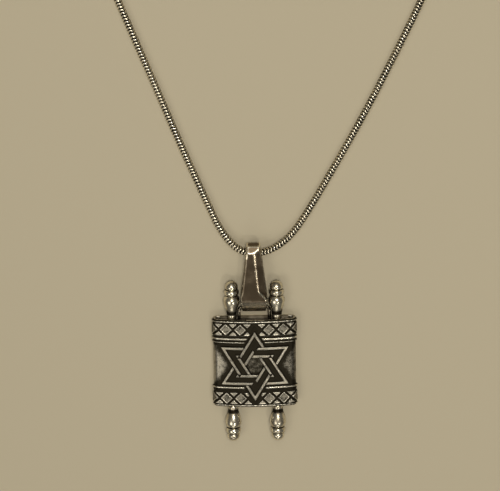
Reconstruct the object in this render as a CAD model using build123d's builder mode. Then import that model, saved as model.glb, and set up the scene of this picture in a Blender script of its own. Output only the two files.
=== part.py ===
"""Scroll-shaped mezuzah case worn as a pendant, with its bail and snake chain.

The case lies on its back: +Z is up out of its front, +Y runs towards the bail and
+X is to its right. The origin is under the middle of the case and bail together.
All lengths are millimetres.
"""

import math
import os

from build123d import *

# Case, seen from the front
CASE_WIDTH = 15.24
CASE_LENGTH = 17.1
CROWN_Z = 3.0  # height of the front's highest line
FRONT_RADIUS = 31.0  # the front is a shallow arch, as a filled scroll is
ROLLED_EDGE = 1.1
BACK_EDGE = 0.7
WALL = 0.42

# How far the object reaches from the middle of the case
FINIAL_REACH = 15.85
BAIL_REACH = 23.23
CASE_Y = (FINIAL_REACH - BAIL_REACH) / 2

# Back plate and its sliding door
PLATE_WIDTH = 12.6
PLATE_THICKNESS = 0.5
DOOR_HALF_OUTER = 2.16
DOOR_HALF_INNER = 2.40
DOOR_THICKNESS = 0.40
DOOR_LIFT = 0.06  # the door sits this far above the case's rest face
DOOR_GAP = 0.04
DOOR_TOP_Y = 7.05  # from the middle of the case

# End plates, set back inside the rims
END_PLATE = 0.5
END_SETBACK = 0.35
END_FACE = CASE_LENGTH / 2 - END_SETBACK

# Rollers
ROLLER_X = 4.15
ROLLER_Z = 1.55
ROD_RADIUS = 0.55
ROD_HALF = 9.4
RUNNING_FIT = 0.03
SPIGOT_RADIUS = 0.66  # bears on the end plate, inside the rim
NECK_RADIUS = 0.9
NECK_END = 9.07  # this and the next stations are from the middle of the case
SWELL = (1.13, 10.4)  # radius and station half-way up the swelling body
SHOULDER_RADIUS = 1.5
SHOULDER_Y = 12.1
GROOVE_RADIUS = 1.18
GROOVE_Y = 13.06
COLLAR_RADIUS = 1.37
COLLAR_Y = 13.2
COLLAR_ROUNDING = 0.12
BALL_RADIUS = 1.2
BALL_GROOVE = 0.22  # from the ball's middle back to the collar

# Raised work on the front
PAD_HEIGHT = 0.08
BAND_HEIGHT = 0.27
STAR_HEIGHT = 0.42
SKIN_LOW_Z = 1.25  # the bands wrap round the rolled edges down to here
DIAMOND_PITCH = 2.66
UPPER_BAND = (3.93, CASE_LENGTH / 2)
LOWER_BAND = (-CASE_LENGTH / 2, -4.42)
UPPER_RAILS = ((7.9, 8.53), (5.4, 5.66), (4.6, 5.14), (3.98, 4.42))
LOWER_RAILS = ((-8.53, -8.03), (-5.42, -5.2), (-5.0, -4.5))
UPPER_DIAMOND_Y = 6.72
LOWER_DIAMOND_Y = -6.85
DIAMOND_HALF_WIDTH = 1.08
DIAMOND_HALF_HEIGHT = 1.0
TRIANGLE_HALF_WIDTH = 0.74
TRIANGLE_HEIGHT = 0.72
TRIANGLE_GAP = 0.22  # from the level of the diamonds' points out to the triangles' bases
PAD_CLEARANCE = 0.3  # gap round the star's points
PATTERN_CLEARANCE = 0.45

# Six-pointed star of two woven triangles, about its own middle
STAR_Y = -0.4
STAR_APEX = 6.85
STAR_BASE = 3.72
STAR_HALF_WIDTH = 6.25
RAIL = 0.62
CHANNEL_EDGE = 1.42
STRAP = 2.04  # width of one side of a triangle, both rails and the channel

# Hanging loop and bail
LOOP_WIRE = 0.3
LOOP_X = 2.8
LOOP_Y = 10.53
LOOP_Z = 1.05
LOOP_BEND = 0.7
LOOP_SPACE = 0.08  # between the loop's bar and the closed end of the bail
BAIL_TOP_HALF = 1.3
BAIL_KNEE_HALF = 2.5
BAIL_FOOT_HALF = 2.2
BAIL_CURL = 0.8  # outer radius of the end that closes round the loop's bar
KNEE_Y = 12.2
KNEE_Z = 2.85
FOLD_Z = 3.38
BAIL_OUTER = (  # Y and Z round the folded band, from the knee over the fold to the loop
    (KNEE_Y, KNEE_Z),
    (21.65, FOLD_Z),
    (22.9, 2.8),
    (BAIL_REACH, 1.5),
    (22.6, 0.15),
    (LOOP_Y, 0.3),
)
BAIL_INNER = (
    (KNEE_Y, 1.75),
    (21.55, 2.6),
    (22.5, 2.35),
    (22.78, 1.5),
    (22.3, 0.6),
    (KNEE_Y, 0.62),
)
RIDGE_TOP_Y = 22.1
RIDGE_FOOT_Y = 14.6
RIDGE_FOOT_Z = KNEE_Z + 0.1
RIGHT_RIDGE = (0.2, 0.85)  # X where the ridge starts and ends; the facet lies outside it
RIGHT_FACET = ((0.2, 24), (0.3, 18.6), (0.75, 14.5), (2.9, 12.0), (4, 12.0), (4, 24))
RIGHT_SLOPE = 0.36
LEFT_RIDGE = (-1.1, -1.95)
LEFT_FACET = ((-1.1, 24), (-1.5, 18.6), (-1.95, 14.2), (-2.9, 12.2), (-4, 12.2), (-4, 24))
LEFT_SLOPE = -0.5

# Snake chain
CHAIN_RADIUS = 0.7
EYE_Y = 17.46
EYE_Z = 1.4
COIL_X = 3.5
COIL_Y = 81.24
COIL_LANES = (7.0, 8.4)  # radii of the two turns that lie side by side
COIL_MIDDLE = 7.7
LAYER = 2 * CHAIN_RADIUS

# Fastening, which lies across the top of the coil
FASTENING_Z = 4.15
FASTENING_START = 350.0  # degrees round the coil, where the left end of the chain stops
CAP_RADIUS = 0.95
CAP_LENGTH = 3.6
CAP_SOCKET = 2.4
LINK_RADIUS = 0.75  # small ring on the closed end of each cap
LINK_SETBACK = 0.55
WIRE = 0.25
JUMP_RING_RADIUS = 1.15
END_RING_RADIUS = 1.06
END_RING_WIRE = 0.22
CLASP_SPAN = 8.0  # from the jump ring's middle to the wire that the hook holds

os.makedirs("parts", exist_ok=True)


def finish(piece, name):
    """Name one finished piece and write it."""
    piece.part.label = name
    export_step(piece.part, f"parts/{name}.step")


def across(y):
    """Upright plane across the case; a negative extrusion runs towards the bail."""
    return Plane.XZ.offset(-(CASE_Y + y))


def front_z(x):
    """Height of the smooth front at x."""
    return CROWN_Z - FRONT_RADIUS + math.sqrt(FRONT_RADIUS**2 - x**2)


def section():
    """Outline of the case across its length: flat back, rolled sides, arched front."""
    half = CASE_WIDTH / 2
    with BuildSketch(mode=Mode.PRIVATE) as outline:
        with BuildLine():
            back = Line((-half, 0), (half, 0))
            right = Line(back @ 1, (half, front_z(half)))
            arch = ThreePointArc(right @ 1, (0, CROWN_Z), (-half, front_z(half)))
            Line(arch @ 1, back @ 0)
        make_face()
        corners = outline.vertices().group_by(Axis.Y)
        fillet(corners[0], BACK_EDGE)
        fillet(outline.vertices().group_by(Axis.Y)[-1], ROLLED_EDGE)
    return outline.sketch


# ---- Case: shell, back plate, door and end plates

with BuildPart() as front_shell:
    with BuildSketch(across(-CASE_LENGTH / 2)):
        add(section())
        offset(section(), amount=-WALL, kind=Kind.ARC, mode=Mode.SUBTRACT)
    extrude(amount=-CASE_LENGTH)
    with BuildSketch(Plane.XY.offset(-1)):
        with Locations((0, CASE_Y)):
            Rectangle(PLATE_WIDTH, CASE_LENGTH + 2)
    extrude(amount=1 + PLATE_THICKNESS, mode=Mode.SUBTRACT)
finish(front_shell, "front_shell")

door_end = CASE_LENGTH / 2 + DOOR_TOP_Y
with BuildPart() as back_plate:
    with BuildSketch(across(-CASE_LENGTH / 2)):
        with Locations((0, PLATE_THICKNESS / 2)):
            Rectangle(PLATE_WIDTH, PLATE_THICKNESS)
    extrude(amount=-CASE_LENGTH)
    slope = (DOOR_HALF_INNER - DOOR_HALF_OUTER) / DOOR_THICKNESS
    slot_outer = DOOR_HALF_OUTER + DOOR_GAP - slope * DOOR_LIFT
    slot_inner = slot_outer + slope * PLATE_THICKNESS
    with BuildSketch(across(-CASE_LENGTH / 2)):
        Polygon(
            (-slot_outer, 0),
            (slot_outer, 0),
            (slot_inner, PLATE_THICKNESS),
            (-slot_inner, PLATE_THICKNESS),
            align=None,
        )
    extrude(amount=-(door_end + DOOR_GAP), mode=Mode.SUBTRACT)
finish(back_plate, "back_plate")

GRIP_GROOVES = 4
GRIP_PITCH = 0.6
GRIP_DEPTH = 0.12
with BuildPart() as back_door:
    with BuildSketch(across(-CASE_LENGTH / 2)):
        Polygon(
            (-DOOR_HALF_OUTER, DOOR_LIFT),
            (DOOR_HALF_OUTER, DOOR_LIFT),
            (DOOR_HALF_INNER, DOOR_LIFT + DOOR_THICKNESS),
            (-DOOR_HALF_INNER, DOOR_LIFT + DOOR_THICKNESS),
            align=None,
        )
    extrude(amount=-door_end)
    with BuildSketch(Plane.XY.offset(DOOR_LIFT)):
        with Locations((0, CASE_Y - CASE_LENGTH / 2 + 1.9)):
            with GridLocations(0, GRIP_PITCH, 1, GRIP_GROOVES):
                SlotOverall(2.8, GRIP_PITCH / 2)
    extrude(amount=GRIP_DEPTH, mode=Mode.SUBTRACT)
finish(back_door, "back_door")


def end_plate(outer_face):
    """Plate that closes one end and carries both rollers; faces are given from the middle."""
    inner_face = outer_face - math.copysign(END_PLATE, outer_face)
    low = min(outer_face, inner_face)
    with BuildPart() as plate:
        with BuildSketch(across(low)):
            offset(section(), amount=-WALL, kind=Kind.ARC)
            with Locations((0, PLATE_THICKNESS - 5)):
                Rectangle(CASE_WIDTH, 10, mode=Mode.SUBTRACT)
            with Locations((-ROLLER_X, ROLLER_Z), (ROLLER_X, ROLLER_Z)):
                Circle(ROD_RADIUS + RUNNING_FIT, mode=Mode.SUBTRACT)
        extrude(amount=-END_PLATE)
    return plate


finish(end_plate(END_FACE), "top_end_plate")
finish(end_plate(-END_FACE), "bottom_end_plate")


# ---- Rollers, each a rod with a turned finial pressed on at both ends


def finial_profile(sign):
    """Half outline of a finial from its neck to its ball, along +Y or -Y."""

    def at(radius, distance):
        return (radius, sign * distance)

    ball_y = FINIAL_REACH - BALL_RADIUS
    spigot_y = END_FACE + RUNNING_FIT
    neck_y = CASE_LENGTH / 2 + RUNNING_FIT
    collar_end = ball_y - BALL_GROOVE
    collar_edge = COLLAR_RADIUS - COLLAR_ROUNDING
    ball_join = math.sqrt(BALL_RADIUS**2 - BALL_GROOVE**2)
    tip = at(0, FINIAL_REACH)
    with BuildSketch(mode=Mode.PRIVATE) as profile:
        with BuildLine():
            Line(at(0, ROD_HALF), at(ROD_RADIUS, ROD_HALF))
            Line(at(ROD_RADIUS, ROD_HALF), at(ROD_RADIUS, spigot_y))
            Line(at(ROD_RADIUS, spigot_y), at(SPIGOT_RADIUS, spigot_y))
            Line(at(SPIGOT_RADIUS, spigot_y), at(SPIGOT_RADIUS, neck_y))
            Line(at(SPIGOT_RADIUS, neck_y), at(NECK_RADIUS, neck_y))
            Line(at(NECK_RADIUS, neck_y), at(NECK_RADIUS, NECK_END))
            Spline(
                at(NECK_RADIUS, NECK_END),
                at(*SWELL),
                at(SHOULDER_RADIUS, SHOULDER_Y),
                tangents=[(0, sign), (0, sign)],
            )
            Spline(
                at(SHOULDER_RADIUS, SHOULDER_Y),
                at(GROOVE_RADIUS, GROOVE_Y),
                tangents=[(0, sign), (-1, 0.25 * sign)],
            )
            Line(at(GROOVE_RADIUS, GROOVE_Y), at(GROOVE_RADIUS, COLLAR_Y))
            Line(at(GROOVE_RADIUS, COLLAR_Y), at(collar_edge, COLLAR_Y))
            ThreePointArc(
                at(collar_edge, COLLAR_Y),
                at(COLLAR_RADIUS, (COLLAR_Y + collar_end) / 2),
                at(collar_edge, collar_end),
            )
            Line(at(collar_edge, collar_end), at(ball_join, collar_end))
            ThreePointArc(
                at(ball_join, collar_end),
                at(BALL_RADIUS * math.cos(0.6), ball_y + BALL_RADIUS * math.sin(0.6)),
                tip,
            )
            Line(tip, at(0, ROD_HALF))
        make_face()
    return profile.sketch


for side, roller_x in (("left", -ROLLER_X), ("right", ROLLER_X)):
    roller_plane = Plane(origin=(roller_x, CASE_Y, ROLLER_Z))
    roller_axis = Axis((roller_x, CASE_Y, ROLLER_Z), (0, 1, 0))

    with BuildPart() as rod:
        with BuildSketch(across(-ROD_HALF)):
            with Locations((roller_x, ROLLER_Z)):
                Circle(ROD_RADIUS)
        extrude(amount=-2 * ROD_HALF)
    finish(rod, f"{side}_roller_rod")

    for end, sign in (("top", 1), ("bottom", -1)):
        with BuildPart() as finial:
            with BuildSketch(roller_plane):
                add(finial_profile(sign))
            revolve(axis=roller_axis)
        finish(finial, f"{side}_{end}_finial")


# ---- Parchment, rolled up between the rollers

PARCHMENT_LENGTH = 14.8
PARCHMENT_OUTER = 0.82
PARCHMENT_STEP = 0.16
with BuildPart() as parchment_scroll:
    with BuildSketch(across(-PARCHMENT_LENGTH / 2)):
        with Locations((0, PLATE_THICKNESS + 0.05 + PARCHMENT_OUTER)):
            Circle(PARCHMENT_OUTER)
            Circle(PARCHMENT_OUTER - 3 * PARCHMENT_STEP, mode=Mode.SUBTRACT)
    extrude(amount=-PARCHMENT_LENGTH)
finish(parchment_scroll, "parchment_scroll")


# ---- Raised work: two bands and the star, curved to the front


def relief_layer(height):
    """Cross-section of a skin of this height over the front and its rolled edges."""
    with BuildSketch(mode=Mode.PRIVATE) as skin:
        offset(section(), amount=height, kind=Kind.ARC)
        add(section(), mode=Mode.SUBTRACT)
        with Locations((0, SKIN_LOW_Z - 5)):
            Rectangle(CASE_WIDTH + 4, 10, mode=Mode.SUBTRACT)
    return skin.sketch


def triangle(pointing, inset):
    """Corners of one star triangle with every side moved in by inset."""
    slant = math.hypot(STAR_HALF_WIDTH, STAR_APEX + STAR_BASE)
    inner_radius = STAR_HALF_WIDTH * (STAR_APEX + STAR_BASE) / (STAR_HALF_WIDTH + slant)
    middle = -STAR_BASE + inner_radius
    scale = 1 - inset / inner_radius
    corners = ((0, STAR_APEX), (STAR_HALF_WIDTH, -STAR_BASE), (-STAR_HALF_WIDTH, -STAR_BASE))
    placed = []
    for x, y in corners:
        y = middle + (y - middle) * scale
        placed.append((x * scale, CASE_Y + STAR_Y + pointing * y))
    return placed


def strap(pointing, first, second):
    """One side of a triangle, mitred at both ends."""
    outer = triangle(pointing, 0)
    inner = triangle(pointing, STRAP)
    return [outer[first], outer[second], inner[second], inner[first]]


# Round the star, each strap passes over the next one
STRAPS = [
    (1, strap(1, 0, 2)),
    (-1, strap(-1, 2, 1)),
    (1, strap(1, 0, 1)),
    (-1, strap(-1, 0, 1)),
    (1, strap(1, 2, 1)),
    (-1, strap(-1, 0, 2)),
]


def woven_triangle(pointing):
    """Rails of one triangle, broken wherever a strap of the other passes over."""
    with BuildSketch(mode=Mode.PRIVATE) as rails:
        Polygon(*triangle(pointing, 0), align=None)
        Polygon(*triangle(pointing, RAIL), align=None, mode=Mode.SUBTRACT)
        Polygon(*triangle(pointing, CHANNEL_EDGE), align=None)
        Polygon(*triangle(pointing, STRAP), align=None, mode=Mode.SUBTRACT)
        for index, (_, over) in enumerate(STRAPS):
            under_pointing, under = STRAPS[(index + 1) % len(STRAPS)]
            if under_pointing == pointing:
                with BuildSketch(mode=Mode.PRIVATE) as crossing:
                    Polygon(*over, align=None)
                    Polygon(*under, align=None, mode=Mode.INTERSECT)
                add(crossing.sketch, mode=Mode.SUBTRACT)
    return rails.sketch


def star_ground():
    """Both triangles as flat straps, without the hexagon between them."""
    with BuildSketch(mode=Mode.PRIVATE) as ground:
        for pointing in (1, -1):
            with BuildSketch(mode=Mode.PRIVATE) as ring:
                Polygon(*triangle(pointing, 0), align=None)
                Polygon(*triangle(pointing, STRAP), align=None, mode=Mode.SUBTRACT)
            add(ring.sketch)
    return ground.sketch


def curved(piece_sketch, height):
    """The sketch pressed into a skin of this height over the front."""
    with BuildPart() as pressed:
        with BuildSketch():
            add(piece_sketch)
        extrude(amount=2 * CROWN_Z)
        with BuildSketch(across(-CASE_LENGTH / 2)):
            add(relief_layer(height))
        extrude(amount=-CASE_LENGTH, mode=Mode.INTERSECT)
    return pressed.part


with BuildPart() as star:
    add(curved(star_ground(), PAD_HEIGHT * 1.5))
    add(curved(woven_triangle(1), STAR_HEIGHT))
    add(curved(woven_triangle(-1), STAR_HEIGHT))
finish(star, "star")


def star_clearance(gap):
    """Whole star outline, grown by gap."""
    with BuildSketch(mode=Mode.PRIVATE) as grown:
        for pointing in (1, -1):
            Polygon(*triangle(pointing, -gap), align=None)
    return grown.sketch


def band_pattern(rails, diamond_y):
    """Rails, diamonds on each side of the star's point, and the triangles between them."""
    with BuildSketch(mode=Mode.PRIVATE) as pattern:
        for start, stop in rails:
            with Locations((0, CASE_Y + (start + stop) / 2)):
                Rectangle(CASE_WIDTH + 4, stop - start)
        for step in (-3, -2, -1, 1, 2, 3):
            with Locations((step * DIAMOND_PITCH, CASE_Y + diamond_y)):
                Polygon(
                    (-DIAMOND_HALF_WIDTH, 0),
                    (0, DIAMOND_HALF_HEIGHT),
                    (DIAMOND_HALF_WIDTH, 0),
                    (0, -DIAMOND_HALF_HEIGHT),
                )
        for step in range(-3, 3):
            middle = (step + 0.5) * DIAMOND_PITCH
            for up in (1, -1):
                edge = CASE_Y + diamond_y + up * (DIAMOND_HALF_HEIGHT + TRIANGLE_GAP)
                Polygon(
                    (middle - TRIANGLE_HALF_WIDTH, edge),
                    (middle + TRIANGLE_HALF_WIDTH, edge),
                    (middle, edge - up * TRIANGLE_HEIGHT),
                    align=None,
                )
        add(star_clearance(PATTERN_CLEARANCE), mode=Mode.SUBTRACT)
    return pattern.sketch


def band_pad(low, high):
    """Thin strip that the pattern stands on, cut away round the star's points."""
    with BuildSketch(mode=Mode.PRIVATE) as strip:
        with Locations((0, CASE_Y + (low + high) / 2)):
            Rectangle(CASE_WIDTH + 4, high - low)
        add(star_clearance(PAD_CLEARANCE), mode=Mode.SUBTRACT)
    return strip.sketch


BANDS = (
    ("upper_band", UPPER_RAILS, UPPER_DIAMOND_Y, UPPER_BAND),
    ("lower_band", LOWER_RAILS, LOWER_DIAMOND_Y, LOWER_BAND),
)
for name, rails, diamond_y, (low, high) in BANDS:
    with BuildPart() as band:
        add(curved(band_pad(low, high), PAD_HEIGHT))
        add(curved(band_pattern(rails, diamond_y), BAND_HEIGHT))
    finish(band, name)


# ---- Hanging loop, a wire staple soldered to the top end plate

with BuildPart() as hanging_loop:
    foot_y = CASE_Y + END_FACE
    bar_y = CASE_Y + LOOP_Y
    with BuildLine() as staple:
        FilletPolyline(
            (-LOOP_X, foot_y, LOOP_Z),
            (-LOOP_X, bar_y, LOOP_Z),
            (LOOP_X, bar_y, LOOP_Z),
            (LOOP_X, foot_y, LOOP_Z),
            radius=LOOP_BEND,
        )
    with BuildSketch(Plane(origin=(-LOOP_X, foot_y, LOOP_Z), z_dir=(0, 1, 0))):
        Circle(LOOP_WIRE)
    sweep(path=staple.line)
finish(hanging_loop, "hanging_loop")


# ---- Bail, one tapered band folded over the chain and closed round the loop's bar


def facet_tool(outline, ridge, slope):
    """What a side facet takes off: all above a plane through the ridge, over the outline."""
    top = Vector(ridge[0], CASE_Y + RIDGE_TOP_Y, FOLD_Z)
    foot = Vector(ridge[1], CASE_Y + RIDGE_FOOT_Y, RIDGE_FOOT_Z)
    along = (foot - top).normalized()
    sideways = Vector(math.copysign(1, slope), 0, -abs(slope))
    normal = along.cross(sideways)
    if normal.Z < 0:
        normal = -normal
    with BuildPart() as tool:
        with BuildSketch():
            Polygon(*[(x, CASE_Y + y) for x, y in outline], align=None)
        extrude(amount=2 * CROWN_Z)
        split(bisect_by=Plane(origin=top, z_dir=normal), keep=Keep.TOP)
    return tool.part


with BuildPart() as bail:
    with BuildSketch(Plane.YZ):
        with Locations((CASE_Y + LOOP_Y, LOOP_Z)):
            Circle(BAIL_CURL)
        with Locations((CASE_Y, 0)):
            Polygon(*BAIL_OUTER, align=None)
        make_hull()
    extrude(amount=BAIL_KNEE_HALF, both=True)
    with BuildSketch(Plane.YZ):
        with Locations((CASE_Y + LOOP_Y, LOOP_Z)):
            Circle(LOOP_WIRE + LOOP_SPACE)
        with Locations((CASE_Y, 0)):
            Polygon(*BAIL_INNER, align=None)
        make_hull()
    extrude(amount=BAIL_KNEE_HALF, both=True, mode=Mode.SUBTRACT)
    with BuildSketch():
        with Locations((0, CASE_Y)):
            Polygon(
                (-BAIL_TOP_HALF, BAIL_REACH + 1),
                (BAIL_TOP_HALF, BAIL_REACH + 1),
                (BAIL_TOP_HALF, BAIL_REACH - 1),
                (BAIL_KNEE_HALF, KNEE_Y + 0.3),
                (BAIL_KNEE_HALF, KNEE_Y - 0.9),
                (BAIL_FOOT_HALF, LOOP_Y - 0.2),
                (BAIL_FOOT_HALF, LOOP_Y - 1.5),
                (-BAIL_FOOT_HALF, LOOP_Y - 1.5),
                (-BAIL_FOOT_HALF, LOOP_Y - 0.2),
                (-BAIL_KNEE_HALF, KNEE_Y - 0.9),
                (-BAIL_KNEE_HALF, KNEE_Y + 0.3),
                (-BAIL_TOP_HALF, BAIL_REACH - 1),
                align=None,
            )
    extrude(amount=2 * CROWN_Z, mode=Mode.INTERSECT)
    add(facet_tool(RIGHT_FACET, RIGHT_RIDGE, RIGHT_SLOPE), mode=Mode.SUBTRACT)
    add(facet_tool(LEFT_FACET, LEFT_RIDGE, LEFT_SLOPE), mode=Mode.SUBTRACT)
finish(bail, "bail")


# ---- Snake chain: one length from end cap to end cap, through the bail

CHAIN_ROUTE = [
    (3.5, 89.64, 0.7),
    (-4.4, 90.44, 0.7),
    (-12.8, 89.74, 0.7),
    (-20.6, 86.64, 0.7),
    (-25.8, 80.64, 0.7),
    (-26.4, 72.54, 0.7),
    (-22.3, 62.04, 0.7),
    (-17.3, 49.44, 0.7),
    (-12.7, 37.64, 0.7),
    (-8.6, 27.8, 0.7),
    (-5.8, 21.2, 0.8),
    (-2.3, 17.5, 1.4),
    (2.3, 17.38, 1.4),
    (6.7, 20.0, 0.8),
    (10.3, 25.4, 0.7),
    (15.1, 33.84, 0.7),
    (20.4, 43.44, 0.7),
    (25.9, 54.44, 0.7),
    (31.4, 65.94, 0.7),
    (34.3, 74.44, 0.7),
    (33.2, 82.84, 0.7),
    (27.4, 88.64, 0.8),
    (19.6, 91.04, 1.5),
    (11.4, 90.74, 2.1),
    (3.5, 89.64, 2.1),
]

route = [Vector(*point) for point in CHAIN_ROUTE]
bend_radii = []
for before, here, after in zip(route, route[1:], route[2:]):
    turn = math.radians((here - before).get_angle(after - here))
    shorter = min((here - before).length, (after - here).length)
    bend_radii.append(0.45 * shorter / math.tan(turn / 2))
print("chain bend radii:", [round(radius, 1) for radius in bend_radii])

with BuildPart() as chain:
    with BuildLine() as chain_line:
        FilletPolyline(*route, radius=bend_radii)
    with BuildSketch(Plane(origin=route[0], z_dir=route[1] - route[0])):
        Circle(CHAIN_RADIUS)
    sweep(path=chain_line.line)
finish(chain, "chain")
chain_length = chain_line.wires()[0].length
expected = math.pi * CHAIN_RADIUS**2 * chain_length
print(f"chain tube {chain_length:.1f} long, volume {chain.part.volume:.1f} of {expected:.1f}")

with BuildPart() as chain_coil:
    with BuildSketch(Plane(origin=(COIL_X, COIL_Y, 0))):
        Circle(COIL_LANES[1] + CHAIN_RADIUS)
        Circle(COIL_LANES[0] - 3 * CHAIN_RADIUS, mode=Mode.SUBTRACT)
    extrude(amount=2 * LAYER)
    with BuildSketch(Plane(origin=(COIL_X, COIL_Y, 2 * LAYER))):
        with BuildLine():
            outer = CenterArc((0, 0), COIL_LANES[1], -8, 196)
            inner = CenterArc((0, 0), COIL_LANES[0], -8, 196)
            Line(outer @ 0, inner @ 0)
            Line(outer @ 1, inner @ 1)
        make_face()
    extrude(amount=LAYER)
finish(chain_coil, "chain_coil")


# ---- Fastening: end cap, jump ring, clasp, end ring and the other end cap


def round_coil(chord, start):
    """Angle reached after this chord round the middle of the coil, going clockwise."""
    return start - math.degrees(2 * math.asin(chord / 2 / COIL_MIDDLE))


def coil_point(angle):
    """Point over the middle of the coil's turns."""
    turned = math.radians(angle)
    x = COIL_X + COIL_MIDDLE * math.cos(turned)
    return Vector(x, COIL_Y + COIL_MIDDLE * math.sin(turned), FASTENING_Z)


link_x = CAP_LENGTH + LINK_SETBACK
angles = [FASTENING_START]
for chord in (link_x + JUMP_RING_RADIUS, CLASP_SPAN, 2 * END_RING_RADIUS, link_x):
    angles.append(round_coil(chord, angles[-1]))
first_end, ring_at, hook_at, right_link_at, last_end = [coil_point(angle) for angle in angles]
print("chain ends over the coil at", first_end, last_end, "degrees", angles[-1])


def lying(start, towards):
    """Level plane at start whose x axis runs to the next piece."""
    return Plane(origin=start, x_dir=towards - start, z_dir=(0, 0, 1))


def standing(flat, x):
    """Upright plane along the x axis of a level one, at this distance along it."""
    return Plane(origin=flat.from_local_coords((x, 0, 0)), x_dir=flat.x_dir, z_dir=flat.y_dir)


def end_cap(flat, link_plane):
    """Cup crimped over the end of the chain, with a small link on its closed end."""
    mouth = Plane(origin=flat.origin, z_dir=flat.x_dir)
    with BuildPart() as cap:
        with BuildSketch(mouth):
            Circle(CAP_RADIUS)
        extrude(amount=CAP_LENGTH)
        chamfer(cap.edges().filter_by(GeomType.CIRCLE), 0.18)
        with BuildSketch(mouth):
            Circle(CHAIN_RADIUS)
        extrude(amount=CAP_SOCKET, mode=Mode.SUBTRACT)
        with Locations(link_plane):
            Torus(LINK_RADIUS, WIRE)
    return cap


left_flat = lying(first_end, ring_at)
clasp_flat = lying(ring_at, hook_at)
right_flat = lying(last_end, right_link_at)
finish(end_cap(left_flat, standing(left_flat, link_x)), "left_end_cap")
finish(end_cap(right_flat, lying(right_link_at, last_end)), "right_end_cap")

with BuildPart() as jump_ring:
    with Locations(Plane(origin=ring_at)):
        Torus(JUMP_RING_RADIUS, WIRE)
finish(jump_ring, "jump_ring")

with BuildPart() as end_ring:
    with Locations(standing(lying(hook_at, right_link_at), END_RING_RADIUS)):
        Torus(END_RING_RADIUS, END_RING_WIRE)
finish(end_ring, "end_ring")

# The clasp lies flat; its tail link holds the jump ring and its hook closes on the end ring
CLASP_THICK = 1.0
TAIL_WIRE = 0.22
PIVOT_X = 4.3
PIVOT_Y = -0.62
PIN_RADIUS = 0.2
LEVER_THICK = 0.44
LEVER_GAP = 0.05
POCKET_BACK = 3.4
POCKET_FRONT = 7.0
POCKET_DEPTH = 0.55
SPRING_THICK = 0.1


def on_clasp(z):
    """Plane of the clasp at this height above its own middle."""
    return clasp_flat.offset(z)


with BuildPart() as clasp_body:
    with BuildSketch(on_clasp(-CLASP_THICK / 2)):
        with BuildLine():
            edge = Spline(
                (1.95, 0.35),
                (3.4, 1.15),
                (5.6, 1.5),
                (7.7, 1.25),
                (8.76, 0.1),
                (8.36, -0.72),
                tangents=[(0.6, 1), (-0.6, -1)],
            )
            tip = Line(edge @ 1, (8.1, -0.47))
            hook = ThreePointArc(tip @ 1, (8.22, 0.47), (7.28, 0.35))
            mouth = Line(hook @ 1, (6.1, 0.1))
            seat = Line(mouth @ 1, (5.0, -1.28))
            Spline(seat @ 1, (3.6, -1.12), (1.95, -0.35), tangents=[(-1, 0), (-0.6, 1)])
            Line((1.95, -0.35), edge @ 0)
        make_face()
    extrude(amount=CLASP_THICK)
    with Locations(standing(clasp_flat, JUMP_RING_RADIUS)):
        Torus(LINK_RADIUS, TAIL_WIRE)
    with BuildSketch(on_clasp(-LEVER_THICK / 2 - LEVER_GAP)):
        Polygon(
            (POCKET_BACK, POCKET_DEPTH),
            (POCKET_FRONT, POCKET_DEPTH),
            (POCKET_FRONT, -2.4),
            (POCKET_BACK, -2.4),
            align=None,
        )
    extrude(amount=LEVER_THICK + 2 * LEVER_GAP, mode=Mode.SUBTRACT)
    with BuildSketch(on_clasp(-CLASP_THICK / 2)):
        with Locations((PIVOT_X, PIVOT_Y)):
            Circle(PIN_RADIUS)
    extrude(amount=CLASP_THICK, mode=Mode.SUBTRACT)
finish(clasp_body, "clasp_body")

with BuildPart() as clasp_pin:
    with BuildSketch(on_clasp(-CLASP_THICK / 2 - RUNNING_FIT)):
        with Locations((PIVOT_X, PIVOT_Y)):
            Circle(PIN_RADIUS)
    extrude(amount=CLASP_THICK + 2 * RUNNING_FIT)
finish(clasp_pin, "clasp_pin")

with BuildPart() as clasp_lever:
    with BuildSketch(on_clasp(-LEVER_THICK / 2)):
        with BuildLine():
            gate = Polyline((3.75, -0.5), (4.6, -0.12), (6.0, -0.52), (7.72, -0.6))
            nose = Line(gate @ 1, (7.72, -0.9))
            thumb = Spline(
                nose @ 1,
                (6.0, -1.1),
                (4.9, -1.9),
                (4.1, -1.95),
                (3.75, -1.2),
                tangents=[(-1, 0), (0.2, 1)],
            )
            Line(thumb @ 1, gate @ 0)
        make_face()
        with Locations((PIVOT_X, PIVOT_Y)):
            Circle(PIN_RADIUS + RUNNING_FIT, mode=Mode.SUBTRACT)
    extrude(amount=LEVER_THICK)
finish(clasp_lever, "clasp_lever")

with BuildPart() as clasp_spring:
    with BuildSketch(on_clasp(-LEVER_THICK / 2)):
        with BuildLine():
            Polyline(
                (POCKET_BACK, POCKET_DEPTH),
                (POCKET_BACK, POCKET_DEPTH - SPRING_THICK),
                (4.3, 0.1),
                (4.85, 0.0),
                (4.85, SPRING_THICK),
                (4.35, 0.2),
                (3.5, POCKET_DEPTH),
                close=True,
            )
        make_face()
    extrude(amount=LEVER_THICK)
finish(clasp_spring, "clasp_spring")
print("lever pivot", clasp_flat.from_local_coords((PIVOT_X, PIVOT_Y, 0)))
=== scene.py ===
"""Scroll-shaped mezuzah case, worn as a pendant on a snake chain.

The case lies on its back on a plain table. Lengths are in metres, in the frame of the
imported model: +Z is up out of the case's front and +Y runs towards the bail.
"""

import math

import bmesh
import bpy
import numpy as np
from mathutils import Matrix, Vector, noise


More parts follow.
